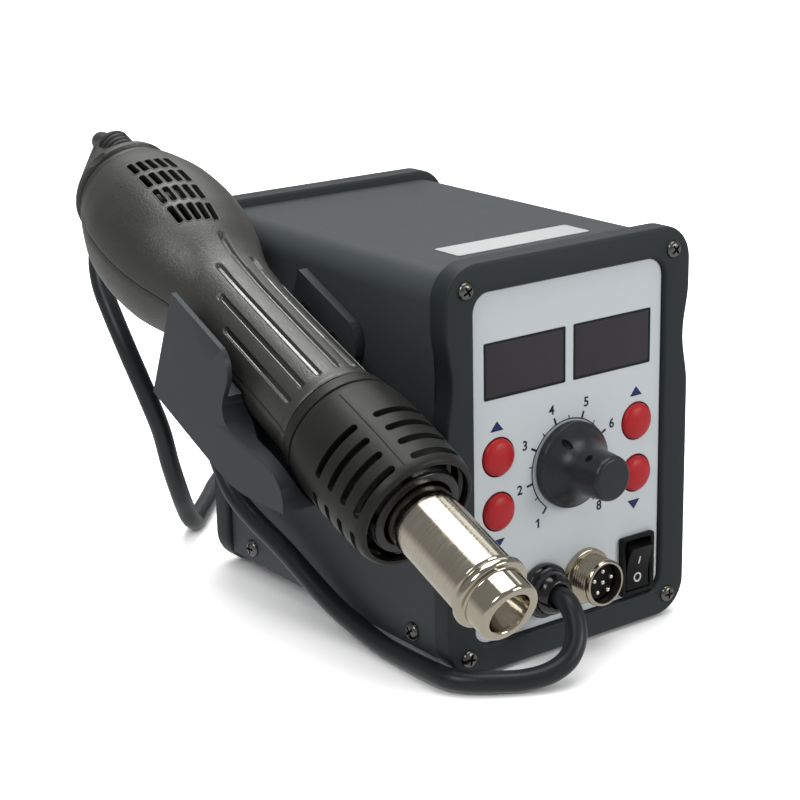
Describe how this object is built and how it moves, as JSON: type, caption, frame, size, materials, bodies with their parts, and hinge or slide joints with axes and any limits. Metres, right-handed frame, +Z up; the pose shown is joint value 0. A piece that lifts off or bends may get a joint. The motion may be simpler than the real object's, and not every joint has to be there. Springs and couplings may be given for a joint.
{
  "type": "hot air station",
  "caption": "Compact hot air rework station: dark case with displays, red buttons and an air dial, and a lift-out hot air handle in a side cradle with a looped hose cord",
  "frame": {"origin": "On the standing surface, under the middle of the bounding box of the object without its hose cord.", "axes": "+Z up, +Y from the control face into the depth, +X to the right as seen from the front; the handle cradle is on the -X side."},
  "size_m": [0.1825, 0.3019, 0.1661],
  "materials": {
    "case_plastic": "moulded dark grey ABS, fine grain",
    "cover_paint": "dark grey textured powder coat on sheet steel",
    "label_film": "printed light blue-grey polyester film",
    "sticker_paper": "plain white self-adhesive label",
    "window_smoke": "smoked acrylic",
    "led_plastic": "grey moulded digit module",
    "button_red": "domed red silicone-like cap",
    "board_green": "glass-fibre circuit board",
    "control_black": "black nylon",
    "knob_black": "black moulded knob",
    "nickel": "nickel-plated brass",
    "screw_steel": "zinc-plated cross-head screw",
    "foot_rubber": "black rubber",
    "core_iron": "laminated transformer iron",
    "coil_tape": "copper winding under yellow tape",
    "cradle_plastic": "dark moulded plastic",
    "handle_plastic": "olive-grey grained plastic",
    "guard_plastic": "heat-proof dark plastic",
    "barrel_steel": "polished stainless tube with fine scratches",
    "heater_ceramic": "heater former with winding",
    "fan_plastic": "black moulded fan",
    "boot_rubber": "black strain relief",
    "cord_rubber": "matte black sleeve"
  },
  "bodies": {
    "station": {"front_bezel": "case_plastic", "rear_bezel": "case_plastic", "case_cover": "cover_paint", "base_plate": "cover_paint", "front_label": "label_film", "top_sticker": "sticker_paper", "display_window_left": "window_smoke", "display_window_right": "window_smoke", "led_module_left": "led_plastic", "led_module_right": "led_plastic", "control_board": "board_green", "hose_gland": "control_black", "gland_nut": "control_black", "rocker_frame": "control_black", "mains_inlet": "control_black", "socket_insert": "control_black", "iron_socket": "nickel", "socket_nut": "nickel", "pot_nut": "nickel", "potentiometer": "nickel", "front_screw_1": "screw_steel", "front_screw_2": "screw_steel", "front_screw_3": "screw_steel", "front_screw_4": "screw_steel", "rear_screw_1": "screw_steel", "rear_screw_2": "screw_steel", "rear_screw_3": "screw_steel", "rear_screw_4": "screw_steel", "cover_screw_1": "screw_steel", "cover_screw_2": "screw_steel", "cover_screw_3": "screw_steel", "cover_screw_4": "screw_steel", "holder_screw_1": "screw_steel", "holder_screw_2": "screw_steel", "foot_1": "foot_rubber", "foot_2": "foot_rubber", "foot_3": "foot_rubber", "foot_4": "foot_rubber", "transformer_core": "core_iron", "transformer_coil": "coil_tape", "handle_holder": "cradle_plastic", "hose_cord_floor": "cord_rubber"},
    "handle": {"handle_upper": "handle_plastic", "handle_lower": "handle_plastic", "tail_cap": "handle_plastic", "cord_boot": "boot_rubber", "heat_guard": "guard_plastic", "barrel_tube": "barrel_steel", "heater_core": "heater_ceramic", "fan_frame": "fan_plastic", "hose_cord_hang": "cord_rubber"},
    "fan": {"fan_rotor": "fan_plastic"},
    "knob": {"air_knob": "knob_black", "potentiometer_shaft": "nickel"},
    "switch": {"rocker": "control_black"},
    "button_left_up_cap": {"button_left_up": "button_red"},
    "button_left_down_cap": {"button_left_down": "button_red"},
    "button_right_up_cap": {"button_right_up": "button_red"},
    "button_right_down_cap": {"button_right_down": "button_red"}
  },
  "joints": [
    {"name": "handle_lift", "type": "slide", "parent": "station", "child": "handle", "axis": [0, -0.3923, 0.9198], "range_m": [0, 0.05], "deforming": ["hose_cord_hang"]},
    {"name": "fan_spin", "type": "hinge", "parent": "handle", "child": "fan", "pos_m": [-0.0511, 0.06552, 0.12832], "axis": [0, 0.9198, 0.3923], "continuous": true},
    {"name": "knob_turn", "type": "hinge", "parent": "station", "child": "knob", "pos_m": [0.0259, -0.04775, 0.065], "axis": [0, 1, 0], "range_deg": [-106, 177]},
    {"name": "press_left_up", "type": "slide", "parent": "station", "child": "button_left_up_cap", "axis": [0, 1, 0], "range_m": [0, 0.001], "stiffness_N_per_m": 400, "springref_m": -0.002},
    {"name": "press_left_down", "type": "slide", "parent": "station", "child": "button_left_down_cap", "axis": [0, 1, 0], "range_m": [0, 0.001], "stiffness_N_per_m": 400, "springref_m": -0.002},
    {"name": "press_right_up", "type": "slide", "parent": "station", "child": "button_right_up_cap", "axis": [0, 1, 0], "range_m": [0, 0.001], "stiffness_N_per_m": 400, "springref_m": -0.002},
    {"name": "press_right_down", "type": "slide", "parent": "station", "child": "button_right_down_cap", "axis": [0, 1, 0], "range_m": [0, 0.001], "stiffness_N_per_m": 400, "springref_m": -0.002},
    {"name": "rocker_tilt", "type": "hinge", "parent": "station", "child": "switch", "pos_m": [0.0557, -0.04714, 0.0225], "axis": [-1, 0, 0], "range_deg": [0, 20]}
  ]
}
